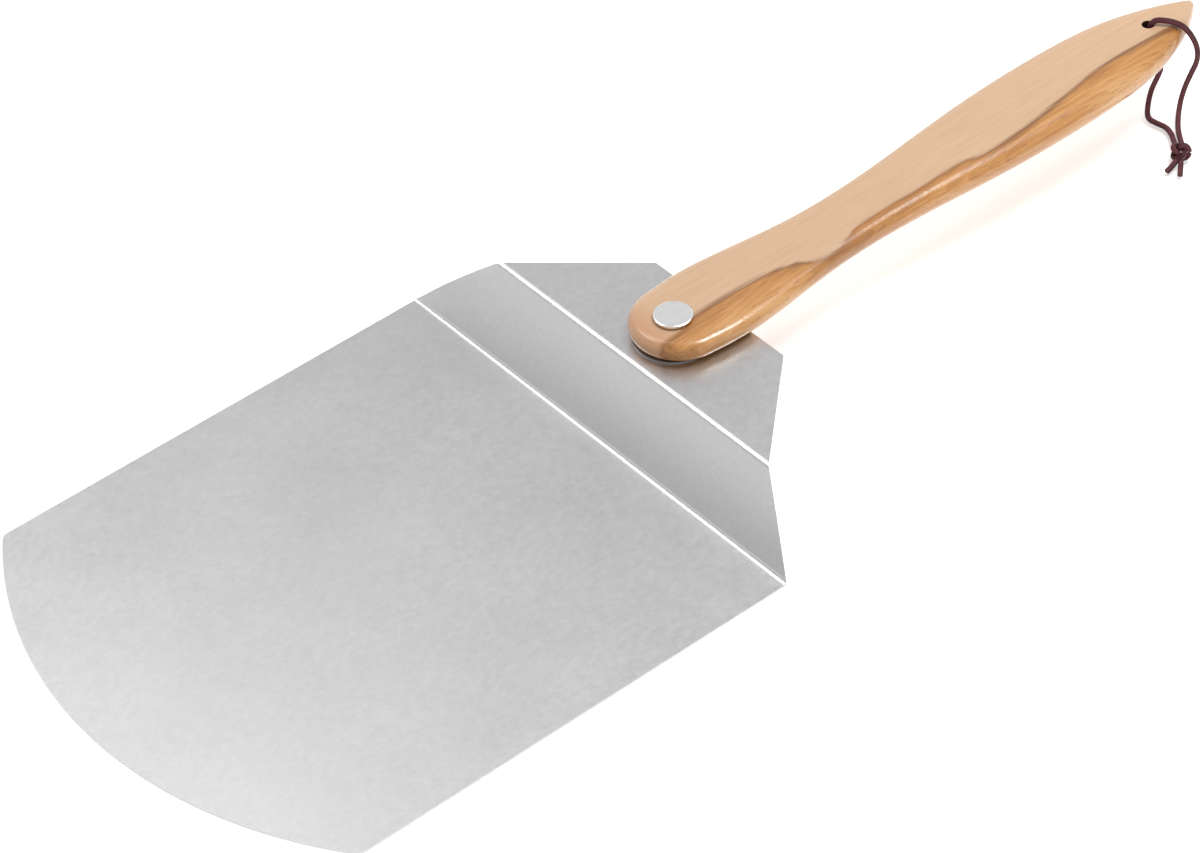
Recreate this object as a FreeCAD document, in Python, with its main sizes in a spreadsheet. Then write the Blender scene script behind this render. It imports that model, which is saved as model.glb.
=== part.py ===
"""Folding pizza peel.

A bent steel blade with a raised neck, and a shaped wooden handle that turns on a
vertical binding post through the neck, so that it folds flat over the blade.
The origin is on the pivot's axis at the level of the blade's underside: +X points
along the handle, +Z up, and the XZ plane is the plane of symmetry. Millimetres.
"""
import FreeCAD, Part
import math
import os
from FreeCAD import Placement, Rotation, Vector
import Sketcher

doc = FreeCAD.newDocument("pizza_peel")
sheet = doc.addObject("Spreadsheet::Sheet", "Dimensions")

DRIVING_DIMENSIONS = {
    # the steel blade, one bent sheet
    "sheet_thickness": 1.0,
    "blade_width": 300,
    "blade_length": 321,          # first bend to the middle of the front edge
    "front_edge_radius": 249,
    "front_corner_radius": 6,
    "pivot_from_bend": 56,
    "step_run": 26,
    "step_rise": 36.5,
    "step_bow_radius": 275,       # the step is not quite flat: its middle stands out a little
    "step_top_width": 216.4,
    "neck_length": 61,
    "neck_rear_width": 101.6,
    "neck_corner_radius": 1.5,
    "bend_radius": 3.5,
    "trim_margin": 5,             # how far the trimming outlines pass the sheet's edges
    # the pivot: a binding post from above and a screw from below
    "post_head_diameter": 20.8,
    "post_head_height": 1.7,
    "post_head_bevel": 0.6,
    "post_head_under_bevel": 0.3,
    "barrel_diameter": 8,
    "barrel_end_recess": 0.2,
    "running_clearance": 0.05,
    "screw_diameter": 5,
    "screw_head_diameter": 11,
    "screw_head_height": 2.4,
    "screw_head_bevel": 1.2,
    "screw_length": 12,
    "screw_tip_bevel": 0.5,
    "socket_width": 3,
    "socket_depth": 1.3,
    "head_washer_diameter": 18,
    "head_washer_thickness": 0.8,
    "spring_washer_diameter": 11.6,
    "spring_washer_thickness": 1.2,
    "spring_washer_split": 1,
    "plain_washer_diameter": 16,
    "plain_washer_thickness": 1,
    "washer_bore_clearance": 0.2,
    # the wear plate, let into the wood under the handle's end
    "wear_plate_diameter": 44.6,
    "wear_plate_thickness": 0.7,
    "plate_recess_depth": 0.3,
    "plate_recess_clearance": 0.2,
    # the wooden handle
    "hanging_hole_diameter": 7,
    "hanging_hole_reach": 344,
    # the leather lanyard
    "lace_diameter": 3,
    "knot_length": 13,
    "knot_width": 11,
    "knot_height": 10.4,
}

# The handle's cross-sections from its round end to its tip: distance from the
# pivot, half width, thickness and how far the underside has risen. Each has a flat
# top and underside and half-round sides.
HANDLE_SECTIONS = [
    (4.8, 27.8, 11.8, 0),
    (28, 29.0, 11.8, 0),
    (60, 26.0, 12.1, 0),
    (95, 21.8, 12.8, 0),
    (130, 20.8, 13.8, 0.2),
    (170, 23.0, 15.2, 0.5),
    (210, 26.5, 16.4, 0.9),
    (255, 28.4, 17.3, 1.6),
    (295, 27.7, 17.6, 2.3),
    (330, 23.5, 17.4, 3.0),
    (355, 15.6, 15.2, 5.0),
    (370, 8.0, 11.2, 8.8),
    (377, 2.6, 5.0, 14.4),
]


NEAR = 0.3   # how near an edge must be to the place where it is looked for


def fill_sheet():
    """Write the driving dimensions to the sheet, each with its alias."""
    row = 1
    cells = dict(DRIVING_DIMENSIONS)
    for number, (reach, half_width, thickness, rise) in enumerate(HANDLE_SECTIONS, start=1):
        cells[f"section_{number}_reach"] = reach
        cells[f"section_{number}_half_width"] = half_width
        cells[f"section_{number}_thickness"] = thickness
        cells[f"section_{number}_rise"] = rise
    for alias, number in cells.items():
        sheet.set(f"A{row}", alias)
        sheet.set(f"B{row}", str(number))
        sheet.setAlias(f"B{row}", alias)
        row += 1
    doc.recompute()


fill_sheet()


def size(alias):
    """A driving dimension, read back from the sheet."""
    return float(sheet.get(alias))


def bound(formula):
    """The formula with every alias spelled as a cell of the sheet."""
    words = []
    for word in formula.split():
        is_alias = word in DRIVING_DIMENSIONS or word.startswith("section_")
        words.append(f"Dimensions.{word}" if is_alias else word)
    return " ".join(words)


def worked_out(formula):
    """The present value of a formula of aliases."""
    result = sheet.evalExpression(bound(formula))
    return float(getattr(result, "Value", result))


def new_body(name):
    """A PartDesign body with the sub-part's own name."""
    body = doc.addObject("PartDesign::Body", name)
    body.Label = name
    return body


def new_sketch(body, name, role, offset=None):
    """A sketch on one of the body's own origin planes, offset along the plane's normal."""
    plane = [feature for feature in body.Origin.OriginFeatures if feature.Role == role][0]
    sketch = body.newObject("Sketcher::SketchObject", name)
    sketch.AttachmentSupport = (plane, [""])
    sketch.MapMode = "FlatFace"
    if offset is not None:
        sketch.AttachmentOffset = Placement(Vector(0, 0, worked_out(offset)), Rotation())
        sketch.setExpression("AttachmentOffset.Base.z", bound(offset))
    return sketch


def drive(sketch, constraint, name, formula):
    """Add a constraint whose value follows a formula of the sheet's aliases."""
    index = sketch.addConstraint(constraint)
    sketch.renameConstraint(index, name)
    sketch.setExpression(f"Constraints.{name}", bound(formula))


def place_point(sketch, geometry, end, name, across, up):
    """Drive one point of the sketch by its two coordinates."""
    drive(sketch, Sketcher.Constraint("DistanceX", -1, 1, geometry, end, worked_out(across)),
          f"{name}_across", across)
    drive(sketch, Sketcher.Constraint("DistanceY", -1, 1, geometry, end, worked_out(up)),
          f"{name}_up", up)


def arc_between(start, end, radius, centre_on_left):
    """An arc from start to end, seen from which its centre is on the left or on the right."""
    chord = end - start
    reach = math.sqrt(radius ** 2 - (chord.Length / 2) ** 2)
    leftwards = Vector(-chord.y, chord.x, 0).normalize()
    middle = (start + end) * 0.5
    centre = middle + leftwards * (reach if centre_on_left else -reach)
    first, second = (start, end) if centre_on_left else (end, start)
    angles = [math.atan2(place.y - centre.y, place.x - centre.x) for place in (first, second)]
    return Part.ArcOfCircle(Part.Circle(centre, Vector(0, 0, 1), radius), *angles)


def polygon(sketch, corners, bowed=None):
    """A closed outline through corners given as pairs of formulas.

    Its sides are straight, but for those that bowed gives a radius and a centre on the left or right.
    """
    bowed = bowed or {}
    points = [Vector(worked_out(across), worked_out(up), 0) for across, up in corners]
    first = sketch.GeometryCount
    side_ends = []
    for index, point in enumerate(points):
        following = points[(index + 1) % len(points)]
        if index in bowed:
            radius, centre_on_left = bowed[index]
            side = arc_between(point, following, worked_out(radius), centre_on_left)
            side_ends.append((1, 2) if centre_on_left else (2, 1))
        else:
            side = Part.LineSegment(point, following)
            side_ends.append((1, 2))
        sketch.addGeometry(side)
    for index, (across, up) in enumerate(corners):
        following = (index + 1) % len(points)
        joined = Sketcher.Constraint("Coincident", first + index, side_ends[index][1],
                                     first + following, side_ends[following][0])
        sketch.addConstraint(joined)
        place_point(sketch, first + index, side_ends[index][0], f"corner_{first + index}", across, up)
    for index, (radius, _) in bowed.items():
        constraint = Sketcher.Constraint("Radius", first + index, worked_out(radius))
        drive(sketch, constraint, f"side_{first + index}_radius", radius)


def circle(sketch, name, radius, across="0", up="0"):
    """A circle of driven radius about a driven centre."""
    centre = Vector(worked_out(across), worked_out(up), 0)
    index = sketch.addGeometry(Part.Circle(centre, Vector(0, 0, 1), worked_out(radius)))
    constraint = Sketcher.Constraint("Radius", index, worked_out(radius))
    drive(sketch, constraint, f"{name}_radius", radius)
    if across != "0" or up != "0":
        place_point(sketch, index, 3, name, across, up)
    else:
        sketch.addConstraint(Sketcher.Constraint("Coincident", index, 3, -1, 1))


def pad(body, name, sketch, length, both_ways=False):
    """Extrude a sketch by a driven length."""
    feature = body.newObject("PartDesign::Pad", name)
    feature.Profile = sketch
    feature.Length = worked_out(length)
    feature.setExpression("Length", bound(length))
    if both_ways:
        feature.SideType = "Symmetric"
    doc.recompute()
    return feature


def cut_through(body, name, sketch):
    """Cut a sketch's outline through the whole body, both ways."""
    feature = body.newObject("PartDesign::Pocket", name)
    feature.Profile = sketch
    feature.Type = "ThroughAll"
    feature.SideType = "Symmetric"
    doc.recompute()
    return feature


def revolve(body, name, sketch, angle=360):
    """Turn a sketch about its own vertical axis."""
    feature = body.newObject("PartDesign::Revolution", name)
    feature.Profile = sketch
    feature.ReferenceAxis = (sketch, ["V_Axis"])
    feature.Angle = angle
    doc.recompute()
    return feature


def round_edges(body, name, base, radius, wanted):
    """Round the edges of the base feature that the wanted test picks."""
    edges = enumerate(base.Shape.Edges, start=1)
    picked = [f"Edge{index}" for index, edge in edges if wanted(edge)]
    feature = body.newObject("PartDesign::Fillet", name)
    feature.Base = (base, picked)
    feature.Radius = worked_out(radius)
    feature.setExpression("Radius", bound(radius))
    doc.recompute()
    return feature


def upright_at(across, along):
    """A test for upright edges that stand at a plan position."""
    def test(edge):
        ends = [vertex.Point for vertex in edge.Vertexes]
        near = all(math.hypot(end.x - across, abs(end.y) - along) < NEAR for end in ends)
        return len(ends) == 2 and near and abs(ends[0].z - ends[1].z) > NEAR
    return test


def crossing_at(*spots):
    """A test for edges that run straight across the blade at places in its side view."""
    def test(edge):
        ends = [vertex.Point for vertex in edge.Vertexes]
        near = any(all(math.hypot(end.x - across, end.z - height) < NEAR for end in ends)
                   for across, height in spots)
        return len(ends) == 2 and near and abs(ends[0].y - ends[1].y) > NEAR
    return test


def make_blade():
    """The blade, its step and its raised neck: one sheet, bent twice and trimmed."""
    body = new_body("blade")
    front = "pivot_from_bend + blade_length"
    step_end = "step_run - pivot_from_bend"
    neck_end = "step_run - pivot_from_bend + neck_length"
    slant = "sqrt( pow( step_run ; 2 ) + pow( step_rise ; 2 ) )"
    reach = f"sqrt( pow( step_bow_radius ; 2 ) - pow( {slant} / 2 ; 2 ) )"
    bow_x = f"step_run / 2 - pivot_from_bend + {reach} * step_rise / {slant}"
    bow_z = f"sheet_thickness + step_rise / 2 - {reach} * step_run / {slant}"
    inner_radius = "( step_bow_radius - sheet_thickness )"
    low_outside = f"{bow_x} - sqrt( pow( {inner_radius} ; 2 ) - pow( {bow_z} ; 2 ) )"
    high_inside = f"{bow_x} - sqrt( pow( {inner_radius} ; 2 ) - pow( step_rise - ( {bow_z} ) ; 2 ) )"
    profile = new_sketch(body, "blade_side_view", "XZ_Plane")
    corners = [
        (f"0 - ( {front} )", "0"),
        (low_outside, "0"),
        (high_inside, "step_rise"),
        (neck_end, "step_rise"),
        (neck_end, "step_rise + sheet_thickness"),
        (step_end, "step_rise + sheet_thickness"),
        ("0 - pivot_from_bend", "sheet_thickness"),
        (f"0 - ( {front} )", "sheet_thickness"),
    ]
    polygon(profile, corners, bowed={1: (inner_radius, False), 5: ("step_bow_radius", True)})
    sheet_pad = pad(body, "bent_sheet", profile, "blade_width", both_ways=True)

    spots = [(worked_out(across), worked_out(up)) for across, up in corners]
    inner = round_edges(body, "bend_insides", sheet_pad, "bend_radius",
                        crossing_at(spots[2], spots[6]))
    round_edges(body, "bend_outsides", inner, "bend_radius + sheet_thickness",
                crossing_at(spots[1], spots[5]))

    trim_front(body)
    trim_shoulders(body)
    corners = round_edges(body, "neck_corners", body.Tip, "neck_corner_radius",
                          upright_at(worked_out(neck_end), worked_out("neck_rear_width / 2")))
    sagitta = "front_edge_radius - sqrt( pow( front_edge_radius ; 2 ) - pow( blade_width / 2 ; 2 ) )"
    side_front = worked_out(f"{sagitta} - ( {front} )")
    round_edges(body, "front_corners", corners, "front_corner_radius",
                upright_at(side_front, worked_out("blade_width / 2")))
    hole = new_sketch(body, "pivot_hole_outline", "XY_Plane")
    circle(hole, "hole", BARREL_BORE)
    cut_through(body, "pivot_hole", hole)
    return body


def trim_front(body):
    """Cut the front edge to its arc."""
    sketch = new_sketch(body, "front_edge_outline", "XY_Plane")
    front = "pivot_from_bend + blade_length"
    centre = f"front_edge_radius - ( {front} )"
    side = "( blade_width / 2 + trim_margin )"
    arc_end = f"{centre} - sqrt( pow( front_edge_radius ; 2 ) - pow( {side} ; 2 ) )"
    outer = f"0 - ( {front} ) - 2 * trim_margin"
    centre_x = worked_out(centre)
    radius = size("front_edge_radius")
    half_angle = math.asin(worked_out(f"{side} / front_edge_radius"))
    points = [(arc_end, f"0 - {side}"), (outer, f"0 - {side}"), (outer, side), (arc_end, side)]
    corners = [Vector(worked_out(across), worked_out(up), 0) for across, up in points]
    for start, end in zip(corners[:-1], corners[1:]):
        sketch.addGeometry(Part.LineSegment(start, end))
    full_circle = Part.Circle(Vector(centre_x, 0, 0), Vector(0, 0, 1), radius)
    arc = Part.ArcOfCircle(full_circle, math.pi - half_angle, math.pi + half_angle)
    sketch.addGeometry(arc)
    for line in range(2):
        sketch.addConstraint(Sketcher.Constraint("Coincident", line, 2, line + 1, 1))
        place_point(sketch, line, 2, f"outer_{line}", *points[line + 1])
    sketch.addConstraint(Sketcher.Constraint("Coincident", 2, 2, 3, 1))
    sketch.addConstraint(Sketcher.Constraint("Coincident", 3, 2, 0, 1))
    drive(sketch, Sketcher.Constraint("Radius", 3, radius), "front_radius", "front_edge_radius")
    place_point(sketch, 3, 3, "front_centre", centre, "0")
    low_end = Sketcher.Constraint("DistanceY", -1, 1, 0, 1, corners[0].y)
    drive(sketch, low_end, "low_end", points[0][1])
    high_end = Sketcher.Constraint("DistanceY", -1, 1, 2, 2, corners[3].y)
    drive(sketch, high_end, "high_end", points[3][1])
    cut_through(body, "front_edge", sketch)


def trim_shoulders(body):
    """Cut both sides of the step and neck to their taper."""
    step_end = "step_run - pivot_from_bend"
    neck_end = "step_run - pivot_from_bend + neck_length"
    for side, sign in (("left", ""), ("right", "0 - ")):
        sketch = new_sketch(body, f"{side}_shoulder_outline", "XY_Plane")
        polygon(sketch, [
            ("0 - pivot_from_bend", f"{sign}( blade_width / 2 )"),
            (step_end, f"{sign}( step_top_width / 2 )"),
            (neck_end, f"{sign}( neck_rear_width / 2 )"),
            (f"{neck_end} + trim_margin", f"{sign}( neck_rear_width / 2 )"),
            (f"{neck_end} + trim_margin", f"{sign}( blade_width / 2 + trim_margin )"),
            ("0 - pivot_from_bend", f"{sign}( blade_width / 2 + trim_margin )"),
        ])
        cut_through(body, f"{side}_shoulder", sketch)


def section_sketch(body, number):
    """One cross-section of the handle: flat top and underside, half-round sides."""
    half_width = f"section_{number}_half_width"
    thickness = f"section_{number}_thickness"
    sketch = new_sketch(body, f"handle_section_{number}", "YZ_Plane", f"section_{number}_reach")
    radius = worked_out(f"{thickness} / 2")
    centre = worked_out(f"{half_width} - {thickness} / 2")
    middle = f"section_{number}_rise + {thickness} / 2"
    low = size(f"section_{number}_rise")
    high = low + 2 * radius
    sketch.addGeometry(Part.LineSegment(Vector(centre, low, 0), Vector(-centre, low, 0)))
    left = Part.Circle(Vector(-centre, low + radius, 0), Vector(0, 0, 1), radius)
    sketch.addGeometry(Part.ArcOfCircle(left, math.pi / 2, math.pi * 3 / 2))
    sketch.addGeometry(Part.LineSegment(Vector(-centre, high, 0), Vector(centre, high, 0)))
    right = Part.Circle(Vector(centre, low + radius, 0), Vector(0, 0, 1), radius)
    sketch.addGeometry(Part.ArcOfCircle(right, -math.pi / 2, math.pi / 2))
    for line, line_end, arc, arc_end in ((0, 2, 1, 2), (2, 1, 1, 1), (2, 2, 3, 2), (0, 1, 3, 1)):
        sketch.addConstraint(Sketcher.Constraint("Tangent", line, line_end, arc, arc_end))
    place_point(sketch, 1, 3, "left_centre", f"0 - ( {half_width} - {thickness} / 2 )", middle)
    place_point(sketch, 3, 3, "right_centre", f"{half_width} - {thickness} / 2", middle)
    drive(sketch, Sketcher.Constraint("Radius", 1, radius), "left_radius", f"{thickness} / 2")
    drive(sketch, Sketcher.Constraint("Radius", 3, radius), "right_radius", f"{thickness} / 2")
    return sketch


def make_handle(underside):
    """The wooden handle, lofted along its length, with a round end and two holes."""
    body = new_body("handle")
    sections = [section_sketch(body, number) for number in range(1, len(HANDLE_SECTIONS) + 1)]
    doc.recompute()
    loft = body.newObject("PartDesign::AdditiveLoft", "shaped_grip")
    loft.Profile = sections[0]
    loft.Sections = sections[1:]
    loft.Ruled = False
    doc.recompute()

    nose = new_sketch(body, "round_end_outline", "YZ_Plane", "section_1_reach")
    half_width = "section_1_half_width"
    thickness = "section_1_thickness"
    flat = worked_out(f"{half_width} - {thickness} / 2")
    radius = worked_out(f"{thickness} / 2")
    nose.addGeometry(Part.LineSegment(Vector(0, 0, 0), Vector(flat, 0, 0)))
    bull = Part.Circle(Vector(flat, radius, 0), Vector(0, 0, 1), radius)
    nose.addGeometry(Part.ArcOfCircle(bull, -math.pi / 2, math.pi / 2))
    nose.addGeometry(Part.LineSegment(Vector(flat, 2 * radius, 0), Vector(0, 2 * radius, 0)))
    nose.addGeometry(Part.LineSegment(Vector(0, 2 * radius, 0), Vector(0, 0, 0)))
    nose.addConstraint(Sketcher.Constraint("Tangent", 0, 2, 1, 1))
    nose.addConstraint(Sketcher.Constraint("Tangent", 2, 1, 1, 2))
    nose.addConstraint(Sketcher.Constraint("Coincident", 2, 2, 3, 1))
    nose.addConstraint(Sketcher.Constraint("Coincident", 3, 2, 0, 1))
    nose.addConstraint(Sketcher.Constraint("Coincident", 0, 1, -1, 1))
    nose.addConstraint(Sketcher.Constraint("Horizontal", 2))
    nose.addConstraint(Sketcher.Constraint("Vertical", 3))
    place_point(nose, 1, 3, "bull_centre", f"{half_width} - {thickness} / 2", f"{thickness} / 2")
    drive(nose, Sketcher.Constraint("Radius", 1, radius), "bull_radius", f"{thickness} / 2")
    grip_volume = body.Shape.Volume
    round_end = revolve(body, "round_end", nose, 180)
    if round_end.Shape.BoundBox.XMin > 0:
        round_end.Reversed = True
        doc.recompute()
    whole_volume = body.Shape.Volume
    print(f"handle: grip {grip_volume:.0f} mm3, with its round end {whole_volume:.0f} mm3")

    recess_outline = new_sketch(body, "plate_recess_outline", "XY_Plane", "plate_recess_depth")
    circle(recess_outline, "recess", "wear_plate_diameter / 2 + plate_recess_clearance")
    recess = body.newObject("PartDesign::Pocket", "plate_recess")
    recess.Profile = recess_outline
    recess.Type = "ThroughAll"
    doc.recompute()
    removed = whole_volume - body.Shape.Volume
    print(f"plate recess removes {removed:.0f} mm3")

    holes = new_sketch(body, "hole_outlines", "XY_Plane")
    circle(holes, "pivot_bore", BARREL_BORE)
    circle(holes, "hanging_hole", "hanging_hole_diameter / 2", across="hanging_hole_reach", up="0")
    cut_through(body, "holes", holes)
    body.Placement = Placement(Vector(0, 0, underside), Rotation())
    return body


def turned_part(name, outline, base):
    """A piece of revolution about the pivot's axis from formulas of radius and height."""
    body = new_body(name)
    sketch = new_sketch(body, f"{name}_outline", "XZ_Plane")
    polygon(sketch, outline)
    revolve(body, f"{name}_turning", sketch)
    body.Placement = Placement(Vector(0, 0, base), Rotation())
    return body


BARREL_BORE = "barrel_diameter / 2 + running_clearance"
SCREW_WASHER_BORE = "screw_diameter / 2 + washer_bore_clearance"


def make_washer(name, prefix, bore_radius, base):
    """A flat ring whose outer size is prefix_diameter and prefix_thickness."""
    outer = f"{prefix}_diameter / 2"
    height = f"{prefix}_thickness"
    outline = [(bore_radius, "0"), (outer, "0"), (outer, height), (bore_radius, height)]
    return turned_part(name, outline, base)


def make_binding_post(seat, barrel_end):
    """The post: a wide flat head with a bevelled rim on a hollow barrel."""
    body = new_body("binding_post")
    sketch = new_sketch(body, "post_outline", "XZ_Plane")
    barrel_length = seat - barrel_end
    head = "post_head_diameter / 2"
    polygon(sketch, [
        ("screw_diameter / 2 + running_clearance", f"0 - {barrel_length:.3f}"),
        ("barrel_diameter / 2", f"0 - {barrel_length:.3f}"),
        ("barrel_diameter / 2", "0"),
        (f"{head} - post_head_under_bevel", "0"),
        (head, "post_head_under_bevel"),
        (head, "post_head_height - post_head_bevel / 2"),
        (f"{head} - post_head_bevel", "post_head_height"),
        ("0", "post_head_height"),
        ("0", "0"),
        ("screw_diameter / 2 + running_clearance", "0"),
    ])
    revolve(body, "post_turning", sketch)
    body.Placement = Placement(Vector(0, 0, seat), Rotation())
    return body


SOCKET_SIDES = 6


def make_screw(head_top):
    """The pan-head screw from below, with a hexagon socket in its head."""
    body = new_body("pivot_screw")
    sketch = new_sketch(body, "screw_outline", "XZ_Plane")
    head = "screw_head_diameter / 2"
    polygon(sketch, [
        ("0", "0 - screw_head_height"),
        (f"{head} - screw_head_bevel", "0 - screw_head_height"),
        (head, "0 - screw_head_height / 2"),
        (head, "0"),
        ("screw_diameter / 2", "0"),
        ("screw_diameter / 2", "screw_length - screw_tip_bevel"),
        ("screw_diameter / 2 - screw_tip_bevel", "screw_length"),
        ("0", "screw_length"),
    ])
    revolve(body, "screw_turning", sketch)
    socket = new_sketch(body, "socket_outline", "XY_Plane", "0 - screw_head_height")
    corner = "socket_width / sqrt( 3 )"
    angles = [f"( {side * 360 // SOCKET_SIDES} deg )" for side in range(SOCKET_SIDES)]
    polygon(socket, [(f"{corner} * cos{angle}", f"{corner} * sin{angle}") for angle in angles])
    pocket = body.newObject("PartDesign::Pocket", "socket")
    pocket.Profile = socket
    pocket.Length = size("socket_depth")
    pocket.setExpression("Length", bound("socket_depth"))
    whole = body.Shape.Volume
    pocket.Reversed = True
    doc.recompute()
    print(f"screw socket removes {whole - body.Shape.Volume:.2f} mm3")
    body.Placement = Placement(Vector(0, 0, head_top), Rotation())
    return body


def make_spring_washer(base):
    """A split spring washer, flattened by the screw."""
    body = make_washer("spring_washer", "spring_washer", SCREW_WASHER_BORE, base)
    split = new_sketch(body, "split_outline", "XY_Plane")
    half_split = "spring_washer_split / 2"
    outside = "spring_washer_diameter / 2 + trim_margin"
    polygon(split, [
        ("0", f"0 - {half_split}"),
        (outside, f"0 - {half_split}"),
        (outside, half_split),
        ("0", half_split),
    ])
    cut_through(body, "split", split)
    return body


# The lanyard's route, from inside its knot, along and up to the hanging hole, through
# it, over the handle's edge and back down to the knot.
LACE_ROUTE = [
    (326.6, -41.2, 6.2),
    (330.6, -35.6, 4.2),
    (335.0, -29.6, 3.2),
    (337.4, -23.4, 3.2),
    (336.0, -17.0, 3.2),
    (335.2, -10.4, 3.2),
    (341.0, -4.6, 5.4),
    (346.2, -1.8, 12.4),
    (348.8, -3.8, 21.0),
    (351.0, -5.6, 29.6),
    (344.8, -0.4, 41.0),
    (344.2, 0.0, 61.4),
    (352.4, -8.8, 61.4),
    (356.8, -16.2, 58.8),
    (360.6, -21.6, 48.0),
    (361.2, -22.4, 37.4),
    (359.0, -19.4, 27.0),
    (357.4, -16.6, 16.6),
    (354.4, -16.6, 8.0),
    (348.4, -21.2, 3.6),
    (341.2, -28.2, 3.2),
    (334.4, -36.8, 4.2),
    (329.8, -42.8, 6.2),
]
KNOT_CENTRE = Vector(324.4, -46.8, 6.9)
KNOT_AXIS = Vector(1, 1.3, 0)
TAIL_ROUTES = [
    [(322.4, -47.8, 5.6), (316.6, -49.6, 3.4), (310.4, -50.6, 3.2)],
    [(322.6, -49.2, 5.6), (318.2, -53.4, 3.4), (313.4, -57.8, 3.2)],
]
ARC_SHARE = 0.45


def rounded_route(points):
    """Straight runs joined by tangent arcs, each as large as its two runs allow."""
    points = [Vector(*point) for point in points]
    edges = []
    radii = []
    start = points[0]
    for before, corner, after in zip(points, points[1:], points[2:]):
        arriving = corner.sub(before)
        leaving = after.sub(corner)
        reach = ARC_SHARE * min(arriving.Length, leaving.Length)
        turn = arriving.getAngle(leaving)
        radius = reach / math.tan(turn / 2)
        radii.append(radius)
        towards = Vector(arriving).normalize()
        away = Vector(leaving).normalize()
        arc_start = corner - towards * reach
        arc_end = corner + away * reach
        inward = (away - towards).normalize()
        middle = corner + inward * (radius / math.cos(turn / 2) - radius)
        edges.append(Part.LineSegment(start, arc_start).toShape())
        edges.append(Part.Arc(arc_start, middle, arc_end).toShape())
        start = arc_end
    edges.append(Part.LineSegment(start, points[-1]).toShape())
    return Part.Wire(edges), radii


def tube(points, diameter):
    """A round tube along a rounded route."""
    path, radii = rounded_route(points)
    first = Vector(*points[0])
    direction = Vector(*points[1]) - first
    ring = Part.Wire([Part.Circle(first, direction, diameter / 2).toShape()])
    solid = path.makePipeShell([ring], True, True)
    expected = math.pi * diameter ** 2 / 4 * path.Length
    print(f"tube: length {path.Length:.1f}, radii {[round(radius, 1) for radius in radii]}, "
          f"volume {solid.Volume:.1f}, section times length {expected:.1f}")
    return solid


def shape_feature(name, shape):
    """A sub-part whose shape is made with Part's own functions."""
    feature = doc.addObject("Part::Feature", name)
    feature.Label = name
    feature.Shape = shape
    feature.Placement = Placement()
    return feature


def make_lanyard():
    """The leather lace through the hanging hole, its knot and its two tails."""
    lace = size("lace_diameter")
    cord = shape_feature("lanyard_cord", tube(LACE_ROUTE, lace))
    knot = doc.addObject("Part::Ellipsoid", "lanyard_knot")
    knot.Label = "lanyard_knot"
    knot.setExpression("Radius1", bound("knot_height / 2"))
    knot.setExpression("Radius2", bound("knot_length / 2"))
    knot.setExpression("Radius3", bound("knot_width / 2"))
    knot.Placement = Placement(KNOT_CENTRE, Rotation(Vector(1, 0, 0), KNOT_AXIS))
    tails = Part.makeCompound([tube(route, lace) for route in TAIL_ROUTES])
    ends = shape_feature("lanyard_tails", tails)
    return [cord, knot, ends]


def build():
    """Make every sub-part, stacked up the pivot's axis."""
    neck_underside = size("step_rise")
    neck_top = neck_underside + size("sheet_thickness")
    clearance = size("running_clearance")
    wear_plate_base = neck_top + clearance
    handle_base = wear_plate_base + size("wear_plate_thickness") - size("plate_recess_depth")
    head_washer_base = handle_base + size("section_1_thickness") + clearance
    head_seat = head_washer_base + size("head_washer_thickness")
    barrel_end = neck_underside + size("barrel_end_recess")
    plain_washer_base = neck_underside - size("plain_washer_thickness")
    spring_washer_base = plain_washer_base - size("spring_washer_thickness")

    parts = [make_blade(), make_handle(handle_base)]
    parts.append(make_washer("wear_plate", "wear_plate", BARREL_BORE, wear_plate_base))
    parts.append(make_washer("head_washer", "head_washer", BARREL_BORE, head_washer_base))
    parts.append(make_binding_post(head_seat, barrel_end))
    parts.append(make_washer("plain_washer", "plain_washer", SCREW_WASHER_BORE, plain_washer_base))
    parts.append(make_spring_washer(spring_washer_base))
    parts.append(make_screw(spring_washer_base))
    parts += make_lanyard()
    doc.recompute()
    return parts


def check_and_export(parts):
    """Stop at any failed object, then write one STEP file for each sub-part."""
    for item in doc.Objects:
        if "Invalid" in item.State or "Error" in item.State:
            raise RuntimeError(f"{item.Name} failed: {item.State}")
    os.makedirs("parts", exist_ok=True)
    for part in parts:
        if part.Shape.isNull() or not part.Shape.isValid():
            raise RuntimeError(f"{part.Label} has no valid shape")
        part.Shape.exportStep(f"parts/{part.Label}.step")
        box = part.Shape.BoundBox
        print(f"{part.Label}: {len(part.Shape.Solids)} solid(s), {part.Shape.Volume:.0f} mm3, "
              f"x {box.XMin:.1f}..{box.XMax:.1f} y {box.YMin:.1f}..{box.YMax:.1f} "
              f"z {box.ZMin:.1f}..{box.ZMax:.1f}")


check_and_export(build())
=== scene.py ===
"""Looks of the folding pizza peel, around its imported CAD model. Metres, +X along the handle, +Z up."""
import math
import bpy
import bmesh
from mathutils import Matrix, Vector


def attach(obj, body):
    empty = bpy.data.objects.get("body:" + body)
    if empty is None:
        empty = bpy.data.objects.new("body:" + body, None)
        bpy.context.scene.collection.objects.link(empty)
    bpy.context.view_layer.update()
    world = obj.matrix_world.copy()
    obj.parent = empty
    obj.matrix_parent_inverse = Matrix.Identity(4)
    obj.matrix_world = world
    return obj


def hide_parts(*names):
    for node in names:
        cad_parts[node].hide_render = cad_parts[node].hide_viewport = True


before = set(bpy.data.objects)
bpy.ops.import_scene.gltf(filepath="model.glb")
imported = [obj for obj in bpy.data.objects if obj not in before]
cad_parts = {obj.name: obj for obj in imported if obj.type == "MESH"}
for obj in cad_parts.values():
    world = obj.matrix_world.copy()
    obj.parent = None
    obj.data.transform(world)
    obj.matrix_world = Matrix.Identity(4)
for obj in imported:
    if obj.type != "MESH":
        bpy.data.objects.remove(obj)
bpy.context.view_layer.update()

MM = 0.001
HANDLE_BODY = "handle_assembly"


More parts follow.
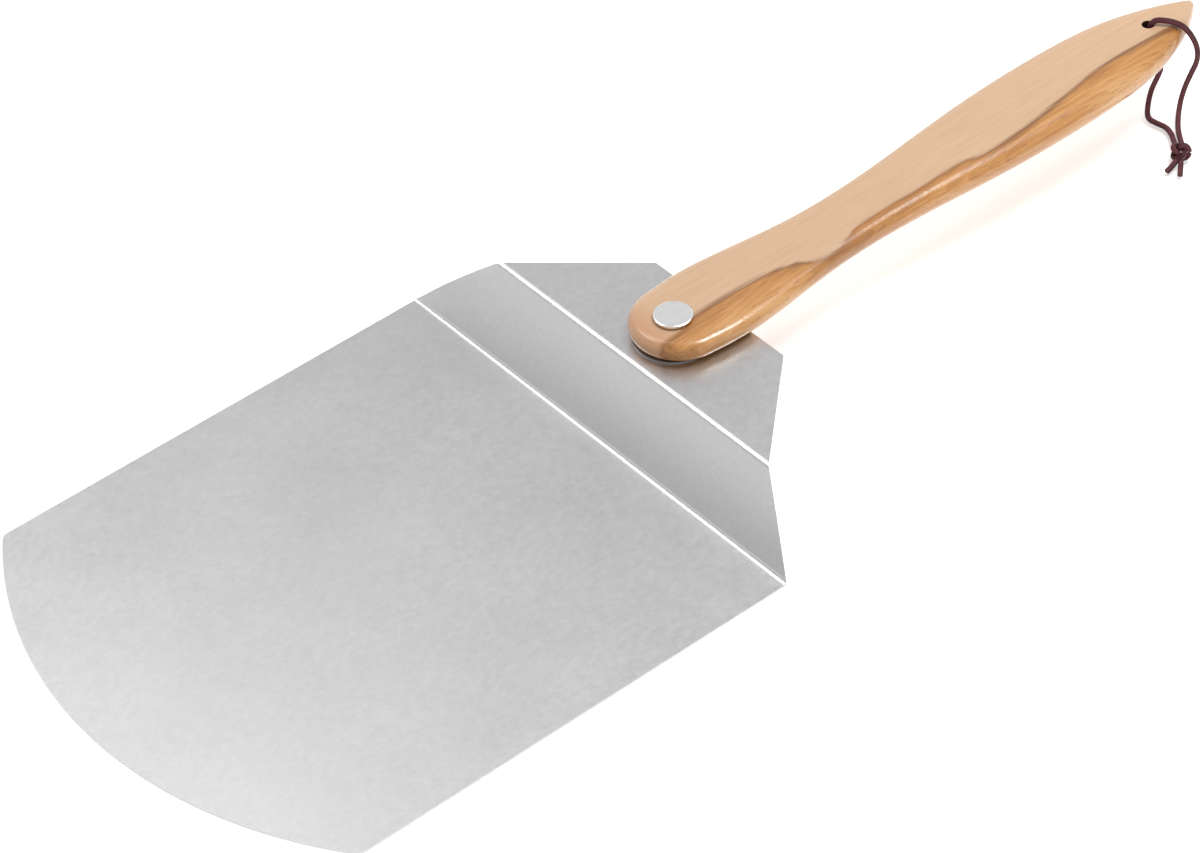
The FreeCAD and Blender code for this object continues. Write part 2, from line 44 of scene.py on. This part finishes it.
# ---------------------------------------------------------------- camera

CAMERA_TARGET = Vector((-0.0484, 0.0051, 0.0))
CAMERA_DISTANCE = 2.522
CAMERA_HEADING = math.radians(37.45)      # from +Y towards +X
CAMERA_DIP = math.radians(42.13)
CAMERA_ROLL = math.radians(-3.74)
CAMERA_LENS = 145.2
CAMERA_SENSOR = 36.0
CAMERA_CLIP = (0.05, 50.0)


def make_camera():
    """The main view: high on the front left, rolled slightly."""
    forward = Vector((math.sin(CAMERA_HEADING) * math.cos(CAMERA_DIP),
                      math.cos(CAMERA_HEADING) * math.cos(CAMERA_DIP),
                      -math.sin(CAMERA_DIP)))
    level = forward.cross(Vector((0, 0, 1))).normalized()
    right = Matrix.Rotation(CAMERA_ROLL, 3, -forward) @ level
    up = right.cross(forward)
    data = bpy.data.cameras.new("camera")
    data.lens = CAMERA_LENS
    data.sensor_width = CAMERA_SENSOR
    data.clip_start, data.clip_end = CAMERA_CLIP
    camera = bpy.data.objects.new("camera", data)
    axes = Matrix((right, up, -forward)).transposed().to_4x4()
    camera.matrix_world = Matrix.Translation(CAMERA_TARGET - forward * CAMERA_DISTANCE) @ axes
    bpy.context.scene.collection.objects.link(camera)
    bpy.context.scene.camera = camera


make_camera()


# ---------------------------------------------------------------- lanyard

LACE_WIDTH = 3.0 * MM
LACE_THICKNESS = 0.86 * LACE_WIDTH
LOOP_STEP = 1.0 * MM
TAIL_STEP = 0.8 * MM

# given routes, in millimetres
LACE_ROUTE = [
    (326.6, -41.2, 6.2),
    (330.6, -35.6, 4.2),
    (335.0, -29.6, 3.2),
    (337.4, -23.4, 3.2),
    (336.0, -17.0, 3.2),
    (335.2, -10.4, 3.2),
    (341.0, -4.6, 5.4),
    (346.2, -1.8, 12.4),
    (348.8, -3.8, 21.0),
    (351.0, -5.6, 29.6),
    (344.8, -0.4, 41.0),
    (344.2, 0.0, 61.4),
    (352.4, -8.8, 61.4),
    (356.8, -16.2, 58.8),
    (360.6, -21.6, 48.0),
    (361.2, -22.4, 37.4),
    (359.0, -19.4, 27.0),
    (357.4, -16.6, 16.6),
    (354.4, -16.6, 8.0),
    (348.4, -21.2, 3.6),
    (341.2, -28.2, 3.2),
    (334.4, -36.8, 4.2),
    (329.8, -42.8, 6.2),
]
TAIL_ROUTES = [
    [(322.4, -47.8, 5.6), (316.6, -49.6, 3.4), (310.4, -50.6, 3.2)],
    [(322.6, -49.2, 5.6), (318.2, -53.4, 3.4), (313.4, -57.8, 3.2)],
]

KNOT_CENTRE = Vector((324.4, -46.8, 6.9)) * MM
KNOT_AXIS = Vector((-0.30, -0.35, 0.89))
KNOT_RADIUS = 3.3 * MM
KNOT_LOBE = 1.5 * MM
KNOT_RISE = 2.1 * MM


def spline_points(name, route, resolution=10):
    """Points along the NURBS spline that has the route's points as its control points."""
    data = bpy.data.curves.new(name, "CURVE")
    data.dimensions = "3D"
    data.resolution_u = resolution
    spline = data.splines.new("NURBS")
    spline.points.add(len(route) - 1)
    for point, place in zip(spline.points, route):
        point.co = (*(Vector(place) * MM), 1.0)
    spline.order_u = 3
    spline.use_endpoint_u = True
    curve = bpy.data.objects.new(name, data)
    bpy.context.scene.collection.objects.link(curve)
    bpy.context.view_layer.update()
    evaluated = curve.evaluated_get(bpy.context.evaluated_depsgraph_get())
    mesh = bpy.data.meshes.new_from_object(evaluated)
    points = [vertex.co.copy() for vertex in mesh.vertices]
    bpy.data.objects.remove(curve)
    bpy.data.meshes.remove(mesh)
    return points


def evenly(points, step):
    """The same line with its points about one step apart."""
    lengths = [0.0]
    for before, after in zip(points, points[1:]):
        lengths.append(lengths[-1] + (after - before).length)
    count = max(2, round(lengths[-1] / step))
    spaced = []
    index = 0
    for number in range(count + 1):
        wanted = lengths[-1] * number / count
        while index < len(points) - 2 and lengths[index + 1] < wanted:
            index += 1
        span = lengths[index + 1] - lengths[index]
        share = (wanted - lengths[index]) / span if span else 0.0
        spaced.append(points[index].lerp(points[index + 1], min(max(share, 0.0), 1.0)))
    return spaced


def lace_section(width, thickness, sides=20, squareness=3.4, edge_sharpness=4):
    """The lace's cross-section: a square with soft corners.

    Each point is its place across, its rise and its share of cut edge.
    """
    section = []
    for number in range(sides):
        angle = 2 * math.pi * number / sides
        across = math.copysign(abs(math.cos(angle)) ** (2 / squareness), math.cos(angle))
        rise = math.copysign(abs(math.sin(angle)) ** (2 / squareness), math.sin(angle))
        section.append((across * width / 2, rise * thickness / 2, abs(across) ** edge_sharpness))
    return section


def sweep(mesh, points, section, first_up, closed=False):
    """Add a tube of the given section along a line, turning as little as the line lets it."""
    edge_layer = mesh.verts.layers.float["cut_edge"]
    count = len(points)
    rings = []
    up = Vector(first_up)
    for index, place in enumerate(points):
        if closed:
            tangent = points[(index + 1) % count] - points[index - 1]
        else:
            tangent = points[min(index + 1, count - 1)] - points[max(index - 1, 0)]
        tangent.normalize()
        up = (up - tangent * up.dot(tangent)).normalized()
        side = tangent.cross(up)
        ring = []
        for across, rise, edge_share in section:
            vertex = mesh.verts.new(place + side * across + up * rise)
            vertex[edge_layer] = edge_share
            ring.append(vertex)
        rings.append(ring)
    pairs = list(zip(rings, rings[1:]))
    if closed:
        pairs.append((rings[-1], rings[0]))
    sides = len(section)
    for ring, following in pairs:
        for number in range(sides):
            nearby = (number + 1) % sides
            mesh.faces.new((ring[number], ring[nearby], following[nearby], following[number]))
    if not closed:
        mesh.faces.new(rings[0][::-1])
        mesh.faces.new(rings[-1])


def lace_piece(name, lines, first_up, node, closed=False):
    """A piece of leather lace along one or more lines, riding with the handle."""
    section = lace_section(LACE_WIDTH, LACE_THICKNESS)
    mesh = bmesh.new()
    mesh.verts.layers.float.new("cut_edge")
    for line in lines:
        sweep(mesh, line, section, first_up, closed)
    bmesh.ops.recalc_face_normals(mesh, faces=mesh.faces)
    data = bpy.data.meshes.new(name)
    mesh.to_mesh(data)
    mesh.free()
    for polygon in data.polygons:
        polygon.use_smooth = len(polygon.vertices) == 4
    piece = bpy.data.objects.new(name, data)
    bpy.context.scene.collection.objects.link(piece)
    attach(piece, HANDLE_BODY)
    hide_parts(node)
    return piece


def knot_line(steps=90):
    """The lace's line in its overhand knot: a trefoil, pulled tight."""
    turn = KNOT_AXIS.to_track_quat("Z", "Y").to_matrix()
    line = []
    for number in range(steps):
        angle = 2 * math.pi * number / steps
        reach = KNOT_RADIUS + KNOT_LOBE * math.cos(3 * angle)
        place = Vector((reach * math.cos(2 * angle),
                        reach * math.sin(2 * angle),
                        KNOT_RISE * math.sin(3 * angle)))
        line.append(KNOT_CENTRE + turn @ place)
    return line


def make_lanyard():
    """The leather loop through the handle's hole, its knot and its two cut ends."""
    loop_line = evenly(spline_points("lace_route", LACE_ROUTE), LOOP_STEP)
    tail_lines = [evenly(spline_points("tail_route", route), TAIL_STEP) for route in TAIL_ROUTES]
    loop = lace_piece("lace_loop", [loop_line], (0, 0, 1), "lanyard_cord")
    knot = lace_piece("lace_knot", [knot_line()], KNOT_AXIS, "lanyard_knot", closed=True)
    tails = lace_piece("lace_tails", tail_lines, (0, 0, 1), "lanyard_tails")
    return [loop, knot, tails]


LACE_PIECES = make_lanyard()


# ---------------------------------------------------------------- materials

class Shader:
    """A new material with its Principled shader, and short ways to add and link nodes."""

    def __init__(self, name, **constants):
        self.material = bpy.data.materials.new(name)
        self.material.use_nodes = True
        self.tree = self.material.node_tree
        self.surface = self.tree.nodes["Principled BSDF"]
        for socket, value in constants.items():
            self.surface.inputs[socket.replace("_", " ")].default_value = value

    def feed(self, value, socket):
        """Link an output to a socket, or set the socket's own number or colour."""
        if isinstance(value, bpy.types.NodeSocket):
            self.tree.links.new(value, socket)
        else:
            socket.default_value = value

    def paint(self, socket, value):
        """Feed one of the surface's sockets, named as Blender names it."""
        self.feed(value, self.surface.inputs[socket])

    def add(self, kind, **inputs):
        """A node with its inputs fed; each input is a number or another node's output."""
        made = self.tree.nodes.new(kind)
        for name, value in inputs.items():
            self.feed(value, made.inputs[name])
        return made

    def maths(self, operation, first, second=0.0, clamp=False):
        """One Math node's output."""
        made = self.add("ShaderNodeMath")
        made.operation = operation
        made.use_clamp = clamp
        self.feed(first, made.inputs[0])
        self.feed(second, made.inputs[1])
        return made.outputs[0]

    def plus(self, first, second, clamp=False):
        """The sum of two values."""
        return self.maths("ADD", first, second, clamp)

    def minus(self, first, second):
        """The second value taken from the first."""
        return self.maths("SUBTRACT", first, second)

    def times(self, first, second):
        """The product of two values."""
        return self.maths("MULTIPLY", first, second)

    def weighted(self, *pairs, offset=0.0):
        """An offset plus some values, each times its weight."""
        total = offset
        for value, weight in pairs:
            total = self.plus(self.times(value, weight), total)
        return total

    def fade_in(self, value, start, span):
        """0 up to the start and 1 from a span beyond it; a negative span fades in downwards."""
        return self.maths("DIVIDE", self.minus(value, start), span, clamp=True)

    def distance(self, first, second):
        """The length of a flat vector with these two parts."""
        return self.maths("SQRT", self.plus(self.times(first, first), self.times(second, second)))

    def place(self, along=1.0):
        """Object coordinates with X times a factor: a small one draws patterns out along X."""
        coordinates = self.add("ShaderNodeTexCoord").outputs["Object"]
        return self.add("ShaderNodeMapping", Vector=coordinates, Scale=(along, 1, 1)).outputs[0]

    def noise(self, scale, along=1.0, detail=2.0, roughness=0.5):
        """A noise texture's value, with its scale in patterns per metre."""
        made = self.add("ShaderNodeTexNoise", Vector=self.place(along), Scale=scale, Detail=detail,
                        Roughness=roughness)
        return made.outputs["Fac"]

    def ramp(self, value, stops):
        """A colour ramp's colour; stops are pairs of place and colour."""
        made = self.add("ShaderNodeValToRGB", Fac=value)
        elements = made.color_ramp.elements
        while len(elements) < len(stops):
            elements.new(0.5)
        for element, (place, colour) in zip(elements, stops):
            element.position = place
            element.color = (*colour, 1.0)
        return made.outputs["Color"]

    def mix(self, share, first, second):
        """Two colours mixed by a share."""
        made = self.add("ShaderNodeMix")
        made.data_type = "RGBA"
        sockets = {socket.identifier: socket for socket in made.inputs}
        self.feed(share, sockets["Factor_Float"])
        for value, name in ((first, "A_Color"), (second, "B_Color")):
            if not isinstance(value, bpy.types.NodeSocket):
                value = (*value, 1.0)
            self.feed(value, sockets[name])
        return next(socket for socket in made.outputs if socket.identifier == "Result_Color")

    def bump(self, height, distance, strength):
        """Bump the surface by a height value."""
        made = self.add("ShaderNodeBump", Height=height, Distance=distance, Strength=strength)
        self.paint("Normal", made.outputs[0])


# each steel's tone, its roughness, its grain's contrast and the nodes that are made of it
STEELS = {
    "satin_steel": ((0.66, 0.66, 0.67), 0.33, 0.04, ["blade"]),
    "plain_steel": ((0.62, 0.62, 0.63), 0.30, 0.05, ["head_washer", "plain_washer", "spring_washer"]),
    # the wear plate's steel is toned darker than the other steel: painted shade for the plate in the gap
    # under the handle
    "dull_shaded_steel": ((0.40, 0.40, 0.41), 0.38, 0.05, ["wear_plate"]),
    "polished_steel": ((0.91, 0.91, 0.915), 0.32, 0.02, ["binding_post", "pivot_screw"]),
}
STEEL_GRAIN_DEPTH = 0.02 * MM


def steel(name, tone, roughness, contrast):
    """Stainless steel: a fine mottled grain with faint rolling lines along X and a few specks."""
    shader = Shader(name, Metallic=1.0)
    mottle = shader.noise(420, along=0.6, detail=4.0, roughness=0.6)
    lines = shader.noise(900, along=0.15)
    clouds = shader.noise(14)
    specks = shader.fade_in(shader.noise(330, detail=0.0), 0.74, 1 / 6)
    grain = shader.weighted((mottle, 0.8), (lines, 0.2))
    speckled = shader.plus(grain, specks)
    low = tuple(channel * (1 - contrast) for channel in tone)
    high = tuple(min(1.0, channel * (1 + contrast)) for channel in tone)
    shader.paint("Base Color", shader.ramp(speckled, [(0.3, low), (0.7, high)]))
    # the clouds and the grain average 0.5, so the offset leaves the roughness its own average
    unevenness = shader.weighted((clouds, 0.08), (grain, 0.12), offset=-0.10)
    shader.paint("Roughness", shader.plus(unevenness, roughness, clamp=True))
    shader.bump(speckled, STEEL_GRAIN_DEPTH, 0.4)
    return shader.material


# where the pale top meets the darker -Y side: a heartwood edge that also bounds painted sheen and
# painted shade
# distance from the pivot and the edge's place across the handle, in millimetres
HEARTWOOD_AND_SHADE_EDGE = [
    (-25, -12), (0, -9), (12, -5), (50, -6), (75, -11), (92, -17), (108, -15), (122, -11), (165, -12),
    (190, -13), (208, -17), (245, -15), (276, -11), (305, -8), (340, -9), (377, -12),
]
HEARTWOOD_AND_SHADE_REACH = (HEARTWOOD_AND_SHADE_EDGE[0][0], HEARTWOOD_AND_SHADE_EDGE[-1][0])
HEARTWOOD_AND_SHADE_BAND = (-25, 0)      # the edge's lowest and highest places across the handle
EDGE_RAGGEDNESS = 5 * MM
EDGE_SOFTNESS = 1.6 * MM
RIM_DEPTH = 1.2 * MM
RIM_REACH = 2.6 * MM
RIM_PATCHES = 0.3125      # the patches' value where the rim starts to show
# painted bounce light from the floor: over this depth the heartwood is painted lighter further in
FLOOR_BOUNCE_FADE = 22 * MM

RING_CENTRE = (45 * MM, -30 * MM)      # across and up: beside and below the grip
RING_WAVE = 22 * MM
RING_SPACING = 2.1 * MM

END_GRAIN_TOP = 58 * MM
END_GRAIN_START = -3 * MM
END_GRAIN_FADES = (4 * MM, 14 * MM)      # down the wall and along the handle
HANGING_HOLE_REACH = 344 * MM
HANGING_HOLE_RADIUS = 3.6 * MM
WOOD_GRAIN_DEPTH = 0.06 * MM

# pale top: partly the wood's own tone, partly painted sheen of the light from above
PALE_WOOD_AND_TOP_SHEEN = [(0.3, (0.52, 0.324, 0.187)), (0.7, (0.60, 0.392, 0.242))]
# darker -Y side: partly heartwood figure, partly painted shade on the side turned from the light above
HEARTWOOD_AND_SIDE_SHADE = [
    (0.26, (0.17, 0.053, 0.008)),
    (0.42, (0.35, 0.135, 0.021)),
    (0.56, (0.485, 0.213, 0.046)),
    (0.72, (0.61, 0.335, 0.130)),
]
END_GRAIN_TONE = (0.46, 0.20, 0.07)
RIM_TONE = (0.15, 0.055, 0.013)
PORE_TONE = (0.22, 0.09, 0.03)
# painted shade inside the hanging hole
HOLE_SHADE_TONE = (0.045, 0.017, 0.008)


def heartwood_and_shade_depth(shader, along, across, streaks):
    """How far inside the heartwood, which is partly painted shade, a spot is; the streaks make its edge
    ragged.
    """
    start, end = HEARTWOOD_AND_SHADE_REACH
    low, high = HEARTWOOD_AND_SHADE_BAND
    share = shader.maths("DIVIDE", shader.minus(along, start * MM), (end - start) * MM)
    edge = shader.add("ShaderNodeFloatCurve", Value=share)
    curve = edge.mapping.curves[0]
    while len(curve.points) < len(HEARTWOOD_AND_SHADE_EDGE):
        curve.points.new(0.5, 0.5)
    for point, (reach, side) in zip(curve.points, HEARTWOOD_AND_SHADE_EDGE):
        point.location = ((reach - start) / (end - start), (side - low) / (high - low))
    edge.mapping.update()
    edge_place = shader.weighted((edge.outputs[0], (high - low) * MM), (streaks, EDGE_RAGGEDNESS),
                                 offset=low * MM - EDGE_RAGGEDNESS / 2)
    return shader.minus(edge_place, across)


def growth_rings(shader, across, height):
    """Sawtooth rings about a line along X, made wavy."""
    centre_side, centre_height = RING_CENTRE
    radius = shader.distance(shader.minus(across, centre_side), shader.minus(height, centre_height))
    waves = shader.noise(22, along=0.35)
    wavy = shader.plus(radius, shader.times(waves, RING_WAVE))
    return shader.maths("FRACT", shader.maths("DIVIDE", wavy, RING_SPACING))


def end_grain(shader, along, height):
    """1 on the wall of the round end, and 0 on its top and along the handle."""
    down, back = END_GRAIN_FADES
    return shader.times(shader.fade_in(height, END_GRAIN_TOP, -down),
                        shader.fade_in(along, END_GRAIN_START, -back))


def wood():
    """Lacquered hardwood: pale wood on top, partly painted sheen of the light from above, and darker
    streaked heartwood along the -Y side, partly painted shade on the side turned from that light.
    """
    shader = Shader("lacquered_wood", IOR=1.5, Coat_Weight=1.0, Coat_Roughness=0.20, Coat_IOR=1.5)
    along, across, height = shader.add("ShaderNodeSeparateXYZ", Vector=shader.place()).outputs
    streaks = shader.noise(520, along=0.035, detail=3.0, roughness=0.6)
    fibres = shader.noise(1900, along=0.02, roughness=0.6)
    patches = shader.noise(60, along=0.2, detail=3.0, roughness=0.55)
    flecks = shader.noise(230, along=0.12, detail=4.0, roughness=0.65)

    # pale wood, partly painted sheen on the top, darker on its end grain
    pale = shader.ramp(shader.weighted((streaks, 0.5), (fibres, 0.5)), PALE_WOOD_AND_TOP_SHEEN)
    pale = shader.mix(shader.times(end_grain(shader, along, height), 0.6), pale, END_GRAIN_TONE)

    # heartwood, partly painted shade on the -Y side, painted lighter further in as painted bounce light
    # from the floor, with a patchy dark rim
    depth = heartwood_and_shade_depth(shader, along, across, streaks)
    inside = shader.fade_in(depth, 0.0, EDGE_SOFTNESS)
    painted_floor_bounce = shader.fade_in(depth, 0.0, FLOOR_BOUNCE_FADE)
    heart_tone_with_painted_light = shader.weighted((growth_rings(shader, across, height), 0.07), (streaks, 0.25),
                                 (patches, 0.28), (flecks, 0.40), (painted_floor_bounce, 0.24), offset=-0.08)
    colour = shader.mix(inside, pale, shader.ramp(heart_tone_with_painted_light, HEARTWOOD_AND_SIDE_SHADE))
    from_rim = shader.maths("ABSOLUTE", shader.minus(depth, RIM_DEPTH))
    rim = shader.times(shader.fade_in(from_rim, RIM_REACH, -RIM_REACH),
                       shader.fade_in(patches, RIM_PATCHES, RIM_PATCHES))
    colour = shader.mix(shader.times(rim, 0.8), colour, RIM_TONE)

    # pores, mostly in the heartwood
    pores = shader.fade_in(shader.noise(1100, along=0.09, detail=1.0), 0.62, 1 / 9)
    pores = shader.times(pores, shader.weighted((inside, 0.85), offset=0.15))
    colour = shader.mix(shader.times(pores, 0.55), colour, PORE_TONE)

    # the hanging hole's wall is painted dark: painted shade inside the hole
    from_hole = shader.distance(shader.minus(along, HANGING_HOLE_REACH), across)
    in_hole = shader.maths("LESS_THAN", from_hole, HANGING_HOLE_RADIUS)
    colour = shader.mix(in_hole, colour, HOLE_SHADE_TONE)

    shader.paint("Base Color", colour)
    shader.paint("Roughness", shader.weighted((streaks, 0.15), offset=0.38))
    shader.bump(shader.minus(streaks, shader.times(pores, 0.8)), WOOD_GRAIN_DEPTH, 0.5)
    return shader.material


LEATHER_FACE = [(0.3, (0.055, 0.013, 0.017)), (0.7, (0.155, 0.052, 0.059))]
# the lace's cut sides, painted darker: painted shade
LEATHER_CUT_SHADE = [(0.3, (0.023, 0.006, 0.009)), (0.7, (0.065, 0.019, 0.023))]
LEATHER_GRAIN_DEPTH = 0.12 * MM


def leather():
    """Dark red-brown leather: rubbed grain faces, and cut edges painted darker as painted shade on the
    lace's sides.
    """
    shader = Shader("brown_leather", IOR=1.45, Specular_IOR_Level=0.22)
    grain = shader.noise(1600, detail=4.0, roughness=0.65)
    tone = shader.weighted((grain, 0.5), (shader.noise(260), 0.5))
    cut = shader.add("ShaderNodeAttribute")
    cut.attribute_name = "cut_edge"
    face = shader.ramp(tone, LEATHER_FACE)
    # the cut sides are painted darker: painted shade
    side = shader.ramp(tone, LEATHER_CUT_SHADE)
    shader.paint("Base Color", shader.mix(cut.outputs["Fac"], face, side))
    shader.paint("Roughness", shader.weighted((grain, 0.25), offset=0.42))
    shader.bump(tone, LEATHER_GRAIN_DEPTH, 0.8)
    return shader.material


def dress(obj, material):
    """Give an object one material in place of what it has."""
    obj.data.materials.clear()
    obj.data.materials.append(material)


def dress_everything():
    """Put every material on its nodes and pieces."""
    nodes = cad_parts
    for name, (tone, roughness, contrast, made_of_it) in STEELS.items():
        material = steel(name, tone, roughness, contrast)
        for node in made_of_it:
            dress(nodes[node], material)
    dress(nodes["handle"], wood())
    brown = leather()
    for piece in LACE_PIECES:
        dress(piece, brown)


dress_everything()


# ---------------------------------------------------------------- stage

FLOOR_SIDE = 12.0
FLOOR_GAP = 0.2 * MM
FLOOR_TONE = (0.94, 0.94, 0.94, 1.0)
FLOOR_GLOW = 0.4

# each softbox's name, low corner and high corner in plan, height and radiance
SOFTBOXES = [
    ("front_softbox", (-0.2, 0.8), (0.6, 1.2), 1.4, 0.5),
    ("bend_strip", (-0.5, 0.6), (-0.17, 1.4), 1.4, 6.0),
    ("side_softbox", (0.38, -0.55), (0.72, 0.1), 1.4, 21.0),
    ("nose_softbox", (0.2, 1.8), (0.8, 2.6), 4.0, 8.0),
]

# the surround's brightness at the sine of its height above the horizon
WORLD_STOPS = [(0.0, 0.32), (0.12, 0.40), (0.30, 1.10), (0.42, 1.0), (0.55, 0.56), (0.75, 0.46)]


def make_floor():
    """A plain pale floor just under the blade."""
    mesh = bmesh.new()
    bmesh.ops.create_grid(mesh, x_segments=1, y_segments=1, size=FLOOR_SIDE / 2)
    data = bpy.data.meshes.new("floor")
    mesh.to_mesh(data)
    mesh.free()
    floor = bpy.data.objects.new("floor", data)
    floor.location = (0, 0, -FLOOR_GAP)
    bpy.context.scene.collection.objects.link(floor)
    shader = Shader("pale_floor", Roughness=0.9, Specular_IOR_Level=0.0, Base_Color=FLOOR_TONE,
                    Emission_Color=FLOOR_TONE, Emission_Strength=FLOOR_GLOW)
    dress(floor, shader.material)


def make_softbox(name, low, high, height, radiance):
    """A level rectangular light, from its low corner to its high corner in plan, facing down."""
    data = bpy.data.lights.new(name, "AREA")
    data.shape = "RECTANGLE"
    data.size = high[0] - low[0]
    data.size_y = high[1] - low[1]
    data.energy = radiance * math.pi * data.size * data.size_y
    light = bpy.data.objects.new(name, data)
    light.location = ((low[0] + high[0]) / 2, (low[1] + high[1]) / 2, height)
    bpy.context.scene.collection.objects.link(light)


def make_world(stops):
    """A soft studio surround, from its brightness at a few heights."""
    world = bpy.data.worlds.new("studio")
    world.use_nodes = True
    tree = world.node_tree
    coordinates = tree.nodes.new("ShaderNodeTexCoord")
    split = tree.nodes.new("ShaderNodeSeparateXYZ")
    ramp = tree.nodes.new("ShaderNodeValToRGB")
    tree.links.new(coordinates.outputs["Generated"], split.inputs[0])
    tree.links.new(split.outputs["Z"], ramp.inputs["Fac"])
    tree.links.new(ramp.outputs["Color"], tree.nodes["Background"].inputs["Color"])
    elements = ramp.color_ramp.elements
    while len(elements) < len(stops):
        elements.new(0.5)
    for element, (height, tone) in zip(elements, stops):
        element.position = height
        element.color = (tone, tone, tone, 1.0)
    bpy.context.scene.world = world


make_floor()
for softbox in SOFTBOXES:
    make_softbox(*softbox)
make_world(WORLD_STOPS)
bpy.context.scene.view_settings.view_transform = "Standard"
